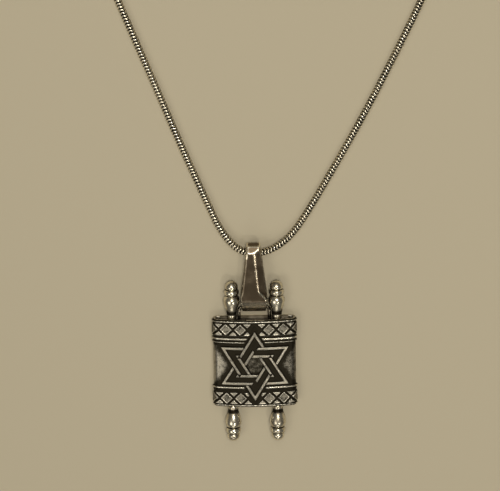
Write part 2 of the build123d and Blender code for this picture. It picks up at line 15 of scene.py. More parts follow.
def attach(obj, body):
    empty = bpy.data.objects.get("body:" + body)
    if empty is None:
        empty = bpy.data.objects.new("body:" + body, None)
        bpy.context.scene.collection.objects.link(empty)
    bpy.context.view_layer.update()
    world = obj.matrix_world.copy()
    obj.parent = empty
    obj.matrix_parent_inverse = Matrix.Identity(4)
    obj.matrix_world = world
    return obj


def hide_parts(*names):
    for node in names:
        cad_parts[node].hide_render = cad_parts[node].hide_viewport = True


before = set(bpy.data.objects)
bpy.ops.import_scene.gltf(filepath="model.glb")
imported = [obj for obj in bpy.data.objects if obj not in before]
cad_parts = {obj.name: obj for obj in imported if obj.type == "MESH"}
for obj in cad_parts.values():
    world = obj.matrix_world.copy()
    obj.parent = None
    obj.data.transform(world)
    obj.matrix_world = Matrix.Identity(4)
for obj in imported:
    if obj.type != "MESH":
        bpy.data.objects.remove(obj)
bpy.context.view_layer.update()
scene = bpy.context.scene
scene.view_settings.view_transform = "Standard"
MM = 0.001


# ---- Camera: a long lens almost overhead, a little on the bail's side

LOOKED_AT = Vector((0, -3.51, 3.0)) * MM
VIEW_DISTANCE = 600 * MM
VIEW_TILT = math.radians(19.0)
VIEW_ROLL = math.radians(0.8)
FRAMING_RIGHT = -0.907 * MM
FRAMING_UP = 21.74 * MM
LENS_LENGTH = 233.3

camera = bpy.data.objects.new("camera", bpy.data.cameras.new("camera"))
scene.collection.objects.link(camera)
scene.camera = camera
camera.data.lens = LENS_LENGTH
camera.data.clip_start = 10 * MM
turned = Matrix.Rotation(-VIEW_TILT, 4, "X") @ Matrix.Rotation(-VIEW_ROLL, 4, "Z")
right, up, back = (turned.col[axis].to_3d() for axis in range(3))
place = LOOKED_AT + VIEW_DISTANCE * back + FRAMING_RIGHT * right + FRAMING_UP * up
camera.matrix_world = Matrix.Translation(place) @ turned


# ---- Snake chain: one length of round silver chain, pressed from rows of wavy bands. It runs
# from one end cap through the coil, down through the bail's fold and back. Its line is laid
# first; the coil holds the part that is put away.

COIL_MIDDLE = Vector((3.5, 81.24, 0.0)) * MM
COIL_STEP = 22.5  # degrees between points of a turn
CHAIN_DIAMETER = 1.4 * MM
ROUTE = [  # millimetres, from the coil down to the bail and back
    (3.5, 89.64, 0.7),
    (-4.4, 90.44, 0.7),
    (-12.8, 89.74, 0.7),
    (-20.6, 86.64, 0.7),
    (-25.8, 80.64, 0.7),
    (-26.4, 72.54, 0.7),
    (-22.3, 62.04, 0.7),
    (-17.3, 49.44, 0.7),
    (-12.7, 37.64, 0.7),
    (-8.6, 27.8, 0.7),
    (-5.8, 21.2, 0.8),
    (-2.3, 17.5, 1.4),
    (2.3, 17.38, 1.4),
    (6.7, 20.0, 0.8),
    (10.3, 25.4, 0.7),
    (15.1, 33.84, 0.7),
    (20.4, 43.44, 0.7),
    (25.9, 54.44, 0.7),
    (31.4, 65.94, 0.7),
    (34.3, 74.44, 0.7),
    (33.2, 82.84, 0.7),
    (27.4, 88.64, 0.8),
    (19.6, 91.04, 1.5),
    (11.4, 90.74, 2.1),
    (3.5, 89.64, 2.1),
]
# Degrees swept from the coil's far side, radius and height of each strand's turns
LEFT_TURNS = [
    (0, 8.4, 0.7),
    (300, 8.4, 0.7),
    (380, 7.0, 0.7),
    (560, 7.0, 0.7),
    (610, 5.6, 0.8),
    (700, 5.6, 3.1),
    (755, 7.7, 3.55),
    (790, 7.7, 3.75),
    (820, 7.7, 4.15),
]
RIGHT_TURNS = [
    (0, 8.4, 2.1),
    (300, 8.4, 2.1),
    (380, 7.0, 2.1),
    (640, 7.0, 2.1),
    (740, 7.7, 3.5),
    (790, 7.7, 3.75),
    (830.05, 7.7, 4.15),
]


def coil_turns(turns, way):
    """Points of one strand's turns, from the far side of the coil to its end cap."""
    sweeps, radii, heights = zip(*turns)
    stops = np.append(np.arange(COIL_STEP, sweeps[-1] - COIL_STEP / 2, COIL_STEP), sweeps[-1])
    points = []
    for sweep in stops:
        radius = np.interp(sweep, sweeps, radii) / math.cos(math.radians(COIL_STEP) / 2)
        angle = math.radians(90 + way * sweep)
        height = np.interp(sweep, sweeps, heights)
        flat = Vector((radius * math.cos(angle), radius * math.sin(angle), height)) * MM
        points.append(COIL_MIDDLE + flat)
    return points


chain_points = coil_turns(LEFT_TURNS, -1)[::-1]
chain_points += [Vector(point) * MM for point in ROUTE]
chain_points += coil_turns(RIGHT_TURNS, 1)

line = bpy.data.curves.new("chain_line", "CURVE")
line.dimensions = "3D"
line.resolution_u = 10
spline = line.splines.new("NURBS")
spline.points.add(len(chain_points) - 1)
for control, point in zip(spline.points, chain_points):
    control.co = (*point, 1.0)
spline.order_u = 3
spline.use_endpoint_u = True


def line_points(curve):
    """Points of a curve's line, in order."""
    holder = bpy.data.objects.new("line", curve)
    mesh = bpy.data.meshes.new_from_object(holder)
    points = [vertex.co.copy() for vertex in mesh.vertices]
    bpy.data.objects.remove(holder)
    bpy.data.meshes.remove(mesh)
    return points


chain_path = line_points(line)

# The chain itself is a row of short wavy bands, bulging in the middle and tucked in at both
# edges, so that each has a dark groove beside it and four rows of bright crests run along.

LINK_PITCH = 0.6 * MM
LINK_SIDES = 16
LINK_LOBES = 4
LINK_WAVE = 0.13 * MM
LOBE_REACH = 0.05  # how far a crest stands out, as a part of the radius
LINK_PROFILE = [  # along the chain in pitches, reach and brightness, from edge to edge
    (-0.50, 0.60, -0.2),
    (-0.36, 0.88, 0.35),
    (-0.14, 1.0, 1.0),
    (0.14, 1.0, 1.0),
    (0.36, 0.88, 0.35),
    (0.50, 0.60, -0.2),
]
CREST_SHINE = (0.85, 0.3)  # mean and swing of the brightness, from hollow to crest
# painted light and shade: each band is lighter on its top and darker on its underside
TOP_PAINTED_LIGHT = (0.85, 0.15)  # the same, from the underside to the top
CORE_RADIUS = 0.46 * MM


def silver_tree(material):
    """Empty node tree of a material, with its output and shader linked."""
    material.use_nodes = True
    tree = material.node_tree
    tree.nodes.clear()
    shader = tree.nodes.new("ShaderNodeBsdfPrincipled")
    output = tree.nodes.new("ShaderNodeOutputMaterial")
    tree.links.new(shader.outputs["BSDF"], output.inputs["Surface"])
    return tree, shader


def math_node(tree, operation, first, second):
    """Math node on two sockets or numbers; returns its result."""
    step = tree.nodes.new("ShaderNodeMath")
    step.operation = operation
    for socket, value in zip(step.inputs, (first, second)):
        if isinstance(value, (int, float)):
            socket.default_value = value
        else:
            tree.links.new(value, socket)
    return step.outputs[0]


def blended(tree, amount, low, high):
    """Colour mixed from low to high by amount; each is a socket or a colour."""
    mix = tree.nodes.new("ShaderNodeMix")
    mix.data_type = "RGBA"
    tree.links.new(amount, mix.inputs["Factor"])
    for socket, value in zip((mix.inputs[6], mix.inputs[7]), (low, high)):
        if isinstance(value, tuple):
            socket.default_value = (*value, 1.0)
        else:
            tree.links.new(value, socket)
    return mix.outputs[2]


def ramped(tree, value, low, high):
    """Smooth step of value from 0 at low to 1 at high."""
    step = tree.nodes.new("ShaderNodeMapRange")
    step.interpolation_type = "SMOOTHSTEP"
    step.inputs["From Min"].default_value = low
    step.inputs["From Max"].default_value = high
    tree.links.new(value, step.inputs["Value"])
    return step.outputs["Result"]


RUBBED = (0.18, 0.82)  # wear where black starts to go and where bare silver is reached
TARNISHED = (0.42, 0.68)  # the same for the brown patches on bare silver
PATCH_WEAR = 0.7
GRAIN_WEAR = 0.5
BLACK_ROUGHNESS = 0.52
RUBBED_SMOOTHER = -0.26
TARNISH_ROUGHER = 0.16
GRAIN_ROUGHER = 0.2
PATCH_HEIGHT = 0.6  # depth of a patch beside that of the grain


def antiqued_group():
    """Antiqued silver: black in the recesses, rubbed bright on what stands proud, and lighter or
    darker where painted light and shade come in with the relief.
    """
    group = bpy.data.node_groups.new("antiqued_silver", "ShaderNodeTree")
    colours = ("Bright", "Dark", "Patina")
    for name in ("Relief And Painted Light", "Patch Size", "Patina Amount", "Grain Size", "Gloss"):
        group.interface.new_socket(name=name, in_out="INPUT", socket_type="NodeSocketFloat")
    for name in colours:
        group.interface.new_socket(name=name, in_out="INPUT", socket_type="NodeSocketColor")
    group.interface.new_socket(name="Color", in_out="OUTPUT", socket_type="NodeSocketColor")
    for name in ("Roughness", "Height"):
        group.interface.new_socket(name=name, in_out="OUTPUT", socket_type="NodeSocketFloat")
    given = group.nodes.new("NodeGroupInput").outputs
    result = group.nodes.new("NodeGroupOutput").inputs
    where = group.nodes.new("ShaderNodeTexCoord").outputs["Object"]
    patches = group.nodes.new("ShaderNodeTexNoise")
    patches.inputs["Detail"].default_value = 4.0
    grain = group.nodes.new("ShaderNodeTexNoise")
    grain.inputs["Detail"].default_value = 2.0
    for texture, size in ((patches, given["Patch Size"]), (grain, given["Grain Size"])):
        group.links.new(where, texture.inputs["Vector"])
        group.links.new(math_node(group, "DIVIDE", 1.0, size), texture.inputs["Scale"])
    uneven = math_node(group, "SUBTRACT", patches.outputs["Fac"], 0.5)
    speckle = math_node(group, "SUBTRACT", grain.outputs["Fac"], 0.5)
    patchy = math_node(group, "MULTIPLY", uneven, PATCH_WEAR)
    grainy = math_node(group, "MULTIPLY", speckle, GRAIN_WEAR)
    worn = math_node(group, "ADD", given["Relief And Painted Light"], patchy)
    rubbed_and_painted_light = ramped(group, math_node(group, "ADD", worn, grainy), *RUBBED)
    tarnish = ramped(group, patches.outputs["Fac"], *TARNISHED)
    tarnish = math_node(group, "MULTIPLY", tarnish, given["Patina Amount"])
    silver = blended(group, tarnish, given["Bright"], given["Patina"])
    group.links.new(blended(group, rubbed_and_painted_light, given["Dark"], silver), result["Color"])
    rough = math_node(group, "MULTIPLY", rubbed_and_painted_light, RUBBED_SMOOTHER)
    for cause, change in ((tarnish, TARNISH_ROUGHER), (speckle, GRAIN_ROUGHER)):
        rough = math_node(group, "ADD", rough, math_node(group, "MULTIPLY", cause, change))
    rough = math_node(group, "SUBTRACT", rough, given["Gloss"])
    group.links.new(math_node(group, "ADD", rough, BLACK_ROUGHNESS), result["Roughness"])
    pitted = math_node(group, "MULTIPLY", uneven, PATCH_HEIGHT)
    group.links.new(math_node(group, "ADD", pitted, speckle), result["Height"])
    return group


ANTIQUED = antiqued_group()


def antiqued(name, bright, dark, patina, patch=0.9, amount=0.6, grain=0.12, bump=0.02, gloss=0.0):
    """Material of antiqued silver; patch, grain and bump are in millimetres."""
    material = bpy.data.materials.new(name)
    tree, shader = silver_tree(material)
    finish = tree.nodes.new("ShaderNodeGroup")
    finish.node_tree = ANTIQUED
    # the relief attribute holds wear together with painted light and shade
    relief_and_painted_light = tree.nodes.new("ShaderNodeAttribute")
    relief_and_painted_light.attribute_name = "relief_and_painted_light"
    tree.links.new(relief_and_painted_light.outputs["Fac"], finish.inputs["Relief And Painted Light"])
    for socket, value in (
        ("Patch Size", patch * MM),
        ("Grain Size", grain * MM),
        ("Patina Amount", amount),
        ("Gloss", gloss),
        ("Bright", (*bright, 1.0)),
        ("Dark", (*dark, 1.0)),
        ("Patina", (*patina, 1.0)),
    ):
        finish.inputs[socket].default_value = value
    raised = tree.nodes.new("ShaderNodeBump")
    raised.inputs["Distance"].default_value = bump * MM
    raised.inputs["Strength"].default_value = 1.0
    tree.links.new(finish.outputs["Height"], raised.inputs["Height"])
    tree.links.new(finish.outputs["Color"], shader.inputs["Base Color"])
    tree.links.new(finish.outputs["Roughness"], shader.inputs["Roughness"])
    tree.links.new(raised.outputs["Normal"], shader.inputs["Normal"])
    shader.inputs["Metallic"].default_value = 1.0
    return material


def placed(bm, name, body, slot, material, *nodes):
    """Make a bmesh a piece that rides on a body and stands for CAD nodes."""
    mesh = bpy.data.meshes.new(name)
    bm.to_mesh(mesh)
    bm.free()
    mesh.materials.append(material)
    mesh.shade_smooth()
    piece = bpy.data.objects.new(name, mesh)
    scene.collection.objects.link(piece)
    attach(piece, body)
    if nodes:
        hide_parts(*nodes)
    return piece


def frames_along(path, pitch):
    """Evenly spaced places on a path, each turned so that its Z axis runs along it."""
    points = np.array(path)
    runs = np.linalg.norm(np.diff(points, axis=0), axis=1)
    along = np.concatenate(([0.0], np.cumsum(runs)))
    count = int(along[-1] / pitch)
    at = (np.arange(count) + 0.5) * along[-1] / count
    centres = np.stack([np.interp(at, along, points[:, axis]) for axis in range(3)], 1)
    ahead, behind = (
        np.stack([np.interp(at + shift, along, points[:, axis]) for axis in range(3)], 1)
        for shift in (pitch / 3, -pitch / 3)
    )
    frames = []
    upward = Vector((0, 0, 1))
    for centre, tangent in zip(centres, ahead - behind):
        forward = Vector(tangent).normalized()
        upward = (upward - upward.dot(forward) * forward).normalized()
        axes = Matrix((upward.cross(forward), upward, forward)).transposed().to_4x4()
        frames.append(Matrix.Translation(Vector(centre)) @ axes)
    return frames


def wavy_link():
    """One band of the chain, round its own Z axis."""
    bm = bmesh.new()
    brightness = bm.verts.layers.float.new("relief_and_painted_light")
    edge = None
    for along, reach, shine in LINK_PROFILE:
        if edge is None:
            radius = CHAIN_DIAMETER / 2
            bmesh.ops.create_circle(bm, segments=LINK_SIDES, radius=radius)
            ring, edge = list(bm.verts), list(bm.edges)
        else:
            made = bmesh.ops.extrude_edge_only(bm, edges=edge)["geom"]
            ring = [item for item in made if isinstance(item, bmesh.types.BMVert)]
            edge = [item for item in made if isinstance(item, bmesh.types.BMEdge)]
            edge = [item for item in edge if all(vert in ring for vert in item.verts)]
        for vert in ring:
            angle = math.atan2(vert.co.y, vert.co.x)
            lobe = math.cos(LINK_LOBES * (angle - math.pi / 4))
            radius = CHAIN_DIAMETER / 2 * reach * (1 - LOBE_REACH + LOBE_REACH * lobe)
            rise = along * LINK_PITCH + LINK_WAVE * lobe
            vert.co = (radius * math.cos(angle), radius * math.sin(angle), rise)
            crest = CREST_SHINE[0] + CREST_SHINE[1] * lobe
            # painted light and shade: the top of each band lighter, its underside darker
            upper = TOP_PAINTED_LIGHT[0] + TOP_PAINTED_LIGHT[1] * math.sin(angle)
            vert[brightness] = shine * crest * upper
    bmesh.ops.recalc_face_normals(bm, faces=bm.faces)
    mesh = bpy.data.meshes.new("link")
    bm.to_mesh(mesh)
    bm.free()
    return mesh


link = wavy_link()
bm = bmesh.new()
bm.verts.layers.float.new("relief_and_painted_light")
for frame_of_link in frames_along(chain_path, LINK_PITCH):
    count = len(bm.verts)
    bm.from_mesh(link)
    bm.verts.ensure_lookup_table()
    bmesh.ops.transform(bm, matrix=frame_of_link, verts=bm.verts[count:])
line.bevel_depth = CORE_RADIUS
line.bevel_resolution = 1
line.use_fill_caps = True
core_holder = bpy.data.objects.new("core", line)
core = bpy.data.meshes.new_from_object(core_holder)
bm.from_mesh(core)
for leftover in (core, link):
    bpy.data.meshes.remove(leftover)
bpy.data.objects.remove(core_holder)
chain_silver = antiqued(
    "chain_silver",
    bright=(1.0, 0.92, 0.74),
    dark=(0.018, 0.014, 0.008),
    patina=(0.56, 0.46, 0.30),
    patch=2.2,
    amount=0.3,
    bump=0.003,
    gloss=0.04,
)
chain = placed(bm, "snake_chain", "chain", "chain_silver", chain_silver, "chain", "chain_coil")


# ---- Front of the case: the star and the two bands, cast in one with the shell and blackened.
# Each is worked up from a flat grid, wrapped round the arched front and its rolled edges, and
# given a wall that sinks into the shell. Heights are in millimetres over the smooth front.

CASE_Y = -3.69
ARCH_RADIUS = 31.0
ARCH_TOP = 3.0
ROLL_RADIUS = 1.1
ROLL_CENTRE = (6.52, 1.181)
ROLL_START = math.atan2(ROLL_CENTRE[0], ROLL_CENTRE[1] + ARCH_RADIUS - ARCH_TOP)
SKIN_CELL = 0.055
SKIN_WALL = 0.4
STAR_MIDDLE = CASE_Y - 0.4
STAR_APEX = 6.85
STAR_BASE = 3.72
STAR_HALF_WIDTH = 6.25
RAIL = 0.62
RAIL_OVERHANG = 0.1
CHANNEL_EDGE = 1.42
STRAP = 2.04
STAR_HEIGHT = 0.42
STAR_GROUND = 0.12
STRAP_EDGE = 0.14
RAIL_EDGE = 0.17
CROSSING_GAP = 0.12
BAND_HEIGHT = 0.27
BAND_GROUND = 0.06
BAND_EDGE = 0.3
BAND_RAIL_EDGE = 0.16
BEAD_PITCH = 0.7
STAR_CLEARANCE = 0.3
DIAMOND_PITCH = 2.66
DIAMOND_REACH = 1.2
TRIANGLE_OFFSET = 0.28
OUTSIDE = -0.1  # height of what is cut away
BURIED = -0.055  # faces lower than this go
SIDE_PAINTED_SHADE = 0.6  # painted shade, darker where the front rolls over into its sides
SIDE_TURN = 0.6


def eased(value, width):
    """Smooth step from 0 at zero to 1 at this width."""
    part = np.clip(value / width, 0.0, 1.0)
    return part * part * (3 - 2 * part)


def ridge(value, low, high, bevel):
    """1 between low and high, falling to 0 over a bevel inside each edge."""
    return eased(value - low, bevel) * eased(high - value, bevel)


def triangle_sides(x, y, pointing):
    """Distances inside the three sides of a star triangle: base, right and left."""
    y = pointing * (y - STAR_MIDDLE)
    slant = math.hypot(STAR_HALF_WIDTH, STAR_APEX + STAR_BASE)
    fall = (STAR_APEX - y) * STAR_HALF_WIDTH / slant
    lean = x * (STAR_APEX + STAR_BASE) / slant
    return y + STAR_BASE, fall - lean, fall + lean


def star_inset(x, y):
    """How far inside the star's outline a point is; negative outside."""
    return np.maximum(*(np.min(triangle_sides(x, y, way), axis=0) for way in (1, -1)))


# Pointing and side of each strap, every one of which passes over the next
WEAVE = [(1, 2), (-1, 0), (1, 1), (-1, 1), (1, 0), (-1, 2)]


def grit(x, y, coarse, fine):
    """Unevenness of the casting."""
    spots = zip(x * 1.1, y * 1.1, x * 4.5, y * 4.5)
    return np.array([
        coarse * noise.noise(Vector((a, b, 0))) + fine * noise.noise(Vector((c, d, 7)))
        for a, b, c, d in spots
    ])


def star_height(x, along, y):
    """Two woven triangles of channelled straps, open in the middle."""
    height = np.full(len(x), OUTSIDE)
    top = np.zeros(len(x))
    for pointing in (1, -1):
        sides = triangle_sides(x, y, pointing)
        inset = np.min(sides, axis=0)
        ground = ridge(inset, -STRAP_EDGE, STRAP + STRAP_EDGE, STRAP_EDGE)
        rails = ridge(inset, -RAIL_OVERHANG, RAIL, RAIL_EDGE)
        rails = rails + ridge(inset, CHANNEL_EDGE, STRAP + RAIL_OVERHANG, RAIL_EDGE)
        for (way, side), (under, under_side) in zip(WEAVE, WEAVE[1:] + WEAVE[:1]):
            if under == pointing:
                over = triangle_sides(x, y, way)[side]
                here = np.abs(sides[under_side] - STRAP / 2) < STRAP / 2 + CROSSING_GAP
                cut = ridge(over, -CROSSING_GAP, STRAP + CROSSING_GAP, STRAP_EDGE)
                rails = rails * (1 - here * cut)
        height = np.maximum(height, OUTSIDE + ground * (STAR_GROUND - OUTSIDE))
        height = np.maximum(height, OUTSIDE + rails * (STAR_HEIGHT - OUTSIDE))
        top = np.maximum(top, rails)
    shine = 0.88 * eased(top - 0.4, 0.5) - 0.32
    return height + grit(x, y, 0.02, 0.012), shine


def band_height(x, along, y, rails, diamond_y, low, high, beads):
    """Rails, a row of diamonds and the small triangles between them."""
    from_middle = y - CASE_Y
    step = (along + DIAMOND_PITCH / 2) % DIAMOND_PITCH - DIAMOND_PITCH / 2
    rise = np.abs(from_middle - diamond_y)
    ground = ridge(from_middle, low - BAND_EDGE, high + BAND_EDGE, BAND_EDGE)
    depth = DIAMOND_REACH - np.abs(step) - rise
    diamond = eased(depth, 0.15) - 0.22 * eased(depth - 0.22, 0.14)
    diamond = diamond * (np.abs(along) > DIAMOND_PITCH / 2)
    corner = DIAMOND_PITCH / 2 - np.abs(step)
    depth = np.minimum(rise - corner - TRIANGLE_OFFSET, DIAMOND_REACH - rise)
    triangle = eased(depth, 0.13) - 0.18 * eased(depth - 0.16, 0.1)
    shape = np.maximum(diamond, triangle)
    for start, stop in rails:
        shape = np.maximum(shape, ridge(from_middle, start, stop, BAND_RAIL_EDGE))
    for start, stop in beads:
        knocked = 0.94 + 0.06 * np.cos(along * 2 * math.pi / BEAD_PITCH)
        knocked = knocked + grit(x * 2, y, 0.16, 0.12)
        rounding = 0.47 * (stop - start)
        shape = np.maximum(shape, ridge(from_middle, start, stop, rounding) * knocked)
    height = OUTSIDE + ground * (BAND_GROUND - OUTSIDE)
    height = np.maximum(height, BAND_GROUND + shape * (BAND_HEIGHT - BAND_GROUND))
    height = height + grit(x, y, 0.02, 0.02)
    clear = eased(-star_inset(x, y) - STAR_CLEARANCE, 0.2)
    shine = 1.25 * eased(shape - 0.45, 0.6) - 0.3
    return OUTSIDE + clear * (height - OUTSIDE), shine


def wrapped(along):
    """Place and outward direction across the case at a distance along its outline."""
    arch_end = ARCH_RADIUS * ROLL_START
    distance = np.abs(along)
    on_roll = distance > arch_end
    angle = np.where(
        on_roll,
        ROLL_START + (distance - arch_end) / ROLL_RADIUS,
        distance / ARCH_RADIUS,
    )
    sine, cosine = np.sin(angle), np.cos(angle)
    x = np.where(on_roll, ROLL_CENTRE[0] + ROLL_RADIUS * sine, ARCH_RADIUS * sine)
    lift = ARCH_TOP - ARCH_RADIUS
    z = np.where(on_roll, ROLL_CENTRE[1] + ROLL_RADIUS * cosine, lift + ARCH_RADIUS * cosine)
    way = np.sign(along)
    return way * x, z, way * sine, cosine


def relief_skin(name, half_width, low, high, height_of, material):
    """Cast skin over part of the front, between two distances from the case's middle."""
    bm = bmesh.new()
    relief_and_painted_light = bm.verts.layers.float.new("relief_and_painted_light")
    columns = round(2 * half_width / SKIN_CELL)
    rows = round((high - low) / SKIN_CELL)
    bmesh.ops.create_grid(bm, x_segments=columns, y_segments=rows, size=1.0)
    flat = np.array([vert.co for vert in bm.verts])
    along = flat[:, 0] * half_width
    y = CASE_Y + (low + high) / 2 + flat[:, 1] * (high - low) / 2
    x, z, out_x, out_z = wrapped(along)
    height, shine = height_of(x, along, y)
    # painted shade: darker as the front turns away from facing up
    shine = shine - SIDE_PAINTED_SHADE * (1 - eased(out_z, SIDE_TURN))
    for vert, where, over, out, up_part, light in zip(
        bm.verts, np.stack([x, y, z], 1), height, out_x, out_z, shine
    ):
        vert.co = (Vector(where) + Vector((out, 0, up_part)) * float(over)) * MM
        vert[relief_and_painted_light] = light
    buried = {vert for vert, over in zip(bm.verts, height) if over < BURIED}
    sunk = [face for face in bm.faces if all(vert in buried for vert in face.verts)]
    bmesh.ops.delete(bm, geom=sunk, context="FACES")
    bmesh.ops.recalc_face_normals(bm, faces=bm.faces)
    if sum(face.normal.z for face in bm.faces) < 0:
        bmesh.ops.reverse_faces(bm, faces=bm.faces)
    bmesh.ops.solidify(bm, geom=bm.faces, thickness=SKIN_WALL * MM)
    return placed(bm, name + "_relief", "case", "cast_silver", material, name)


cast_silver = antiqued(
    "cast_silver",
    bright=(0.74, 0.70, 0.60),
    dark=(0.030, 0.026, 0.018),
    patina=(0.30, 0.26, 0.19),
    patch=0.8,
    amount=0.55,
    grain=0.16,
    bump=0.02,
)
relief_skin("star", 6.4, -7.4, 6.3, star_height, cast_silver)
relief_skin(
    "upper_band",
    8.23,
    3.93,
    8.55,
    lambda x, along, y: band_height(
        x, along, y, [(5.4, 5.66), (4.6, 5.14)], 6.72, 3.93, 8.55, [(7.9, 8.53), (3.98, 4.42)]
    ),
    cast_silver,
)
relief_skin(
    "lower_band",
    8.23,
    -8.55,
    -4.42,
    lambda x, along, y: band_height(
        x, along, y, [(-5.42, -5.2), (-5.0, -4.5)], -6.85, -8.55, -4.42, [(-8.53, -8.03)]
    ),
    cast_silver,
)


# ---- Shell: one silver casting, open at the back and both ends, softened by the mould. It is
# worn on the rims and plain fields, and black round the star where polish never reaches.

SHELL_VOXEL = 0.1 * MM
FIELD_BLACK = 0.1
FIELD_WEAR = 0.42  # gained away from the star
MIDDLE_WEAR = 0.16  # gained inside the star
# painted shade: the field darkens towards the right side
RIGHT_PAINTED_SHADE = 0.14  # lost towards the right side
FIELD_ENDS = (-4.35, 3.85)  # where the bands stand
RIM_START = 8.3
RIM_WEAR = 0.6


def mould_softened(node, voxel, passes):
    """Copy of a CAD node as one even mesh with softened edges."""
    bm = bmesh.new()
    bm.from_mesh(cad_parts[node].data)
    bmesh.ops.remove_doubles(bm, verts=bm.verts, dist=0.001 * MM)
    mesh = bpy.data.meshes.new(node + "_copy")
    bm.to_mesh(mesh)
    bm.free()
    holder = bpy.data.objects.new(node + "_copy", mesh)
    scene.collection.objects.link(holder)
    remesh = holder.modifiers.new("mould", "REMESH")
    remesh.mode = "VOXEL"
    remesh.voxel_size = voxel
    smooth = holder.modifiers.new("soften", "SMOOTH")
    smooth.iterations = passes
    view = bpy.context.evaluated_depsgraph_get()
    softened = bpy.data.meshes.new_from_object(holder.evaluated_get(view))
    bpy.data.objects.remove(holder)
    bpy.data.meshes.remove(mesh)
    bm = bmesh.new()
    bm.from_mesh(softened)
    bpy.data.meshes.remove(softened)
    return bm


bm = mould_softened("front_shell", SHELL_VOXEL, 3)
relief_and_painted_light = bm.verts.layers.float.new("relief_and_painted_light")
spots = np.array([vert.co for vert in bm.verts]) / MM
inset = star_inset(spots[:, 0], spots[:, 1])
from_middle = spots[:, 1] - CASE_Y
field = FIELD_BLACK + FIELD_WEAR * eased(-inset - 0.2, 1.3)
field = field + MIDDLE_WEAR * eased(inset - 2.2, 0.4)
# painted shade: darker towards the right side
field = field - RIGHT_PAINTED_SHADE * eased(spots[:, 0] - 4, 2)
clear_of_bands = np.minimum(FIELD_ENDS[1] - from_middle, from_middle - FIELD_ENDS[0])
field = field * (0.2 + 0.8 * eased(clear_of_bands, 0.5))
field = np.where(np.abs(from_middle) > RIM_START, RIM_WEAR, field)
for vert, light in zip(bm.verts, field):
    vert[relief_and_painted_light] = light
placed(bm, "shell", "case", "cast_silver", cast_silver, "front_shell")


# ---- Finials: solid silver, turned like the ends of a scroll's rollers and pressed on the
# rods, one pair at each end. Their grooves have kept the black; their undersides carry painted
# shade.

FINIAL_PROFILE = [  # distance from the case's middle and radius, from the neck to the tip
    (8.59, 0.0),
    (8.59, 0.80),
    (8.66, 0.90),
    (9.07, 0.90),
    (9.50, 0.92),
    (9.95, 1.00),
    (10.4, 1.13),
    (10.9, 1.29),
    (11.4, 1.42),
    (11.8, 1.485),
    (12.1, 1.50),
    (12.4, 1.46),
    (12.7, 1.34),
    (12.92, 1.18),
    (13.00, 1.02),
    (13.10, 0.98),
    (13.17, 1.06),
    (13.22, 1.24),
    (13.36, 1.33),
    (13.58, 1.37),
    (13.84, 1.37),
    (14.04, 1.31),
    (14.12, 1.20),
    (14.17, 1.02),
    (14.26, 0.99),
    (14.36, 1.12),
    (14.62, 1.195),
    (14.88, 1.18),
    (15.14, 1.10),
    (15.4, 0.93),
    (15.6, 0.73),
    (15.75, 0.48),
    (15.83, 0.22),
    (15.85, 0.0),
]
ROLLER_X = 4.15
ROLLER_Z = 1.55
FINIAL_STEPS = 48


def edge_wear_and_painted_shade(bm, passes, scale, flat=0.55, under=0.7):
    """Relief of a closed form: bright where it stands proud of its smoothed shape, with painted
    shade darkening where it faces down.
    """
    relief_and_painted_light = bm.verts.layers.float.new("relief_and_painted_light")
    bm.verts.ensure_lookup_table()
    bm.normal_update()
    first = np.array([vert.co for vert in bm.verts])
    normals = np.array([vert.normal for vert in bm.verts])
    pairs = np.array([[vert.index for vert in edge.verts] for edge in bm.edges])
    soft = first.copy()
    for _ in range(passes):
        total = np.zeros_like(soft)
        count = np.zeros(len(soft))
        for a, b in (pairs.T, pairs.T[::-1]):
            np.add.at(total, a, soft[b])
            np.add.at(count, a, 1)
        soft = total / count[:, None]
    proud = ((first - soft) * normals).sum(1) / scale
    # painted shade: darker where the surface faces down, by the amount under
    painted_underside_shade = under * (1 - eased(normals[:, 2] + 0.1, 0.5))
    for vert, value in zip(bm.verts, np.clip(flat + proud, 0, 1) - painted_underside_shade):
        vert[relief_and_painted_light] = value


def turned_piece(profile, centre, axis, steps=FINIAL_STEPS):
    """Solid of revolution; the profile gives distance along the axis and radius."""
    bm = bmesh.new()
    side = axis.orthogonal().normalized()
    corners = [bm.verts.new(centre + (axis * far + side * radius) * MM) for far, radius in profile]
    edges = [bm.edges.new(pair) for pair in zip(corners, corners[1:])]
    bmesh.ops.spin(
        bm,
        geom=corners + edges,
        cent=centre,
        axis=axis,
        angle=2 * math.pi,
        steps=steps,
        use_merge=True,
    )
    bmesh.ops.remove_doubles(bm, verts=bm.verts, dist=0.0005 * MM)
    bmesh.ops.recalc_face_normals(bm, faces=bm.faces)
    return bm


finial_silver = antiqued(
    "finial_silver",
    bright=(0.82, 0.77, 0.63),
    dark=(0.020, 0.016, 0.010),
    patina=(0.24, 0.17, 0.10),
    patch=1.1,
    amount=0.5,
    bump=0.006,
    gloss=0.03,
)
for side, way in (("left", -1), ("right", 1)):
    for end, along in (("top", 1), ("bottom", -1)):
        centre = Vector((way * ROLLER_X, CASE_Y, ROLLER_Z)) * MM
        bm = turned_piece(FINIAL_PROFILE, centre, Vector((0, along, 0)))
        # under darkens the finials' undersides as painted shade
        edge_wear_and_painted_shade(bm, 3, 0.05 * MM, under=0.6)
        node = f"{side}_{end}_finial"
        placed(bm, f"{side}_{end}_turning", f"{side}_roller", "cast_silver", finial_silver, node)


# ---- Bail: a tapered silver band, folded over the chain, with a polished facet down each side.
# Wear has rubbed its fold bright and its flat faces have kept the black; its right ridge is a
# painted highlight, its foot below the knee a painted reflection and its undersides painted shade.

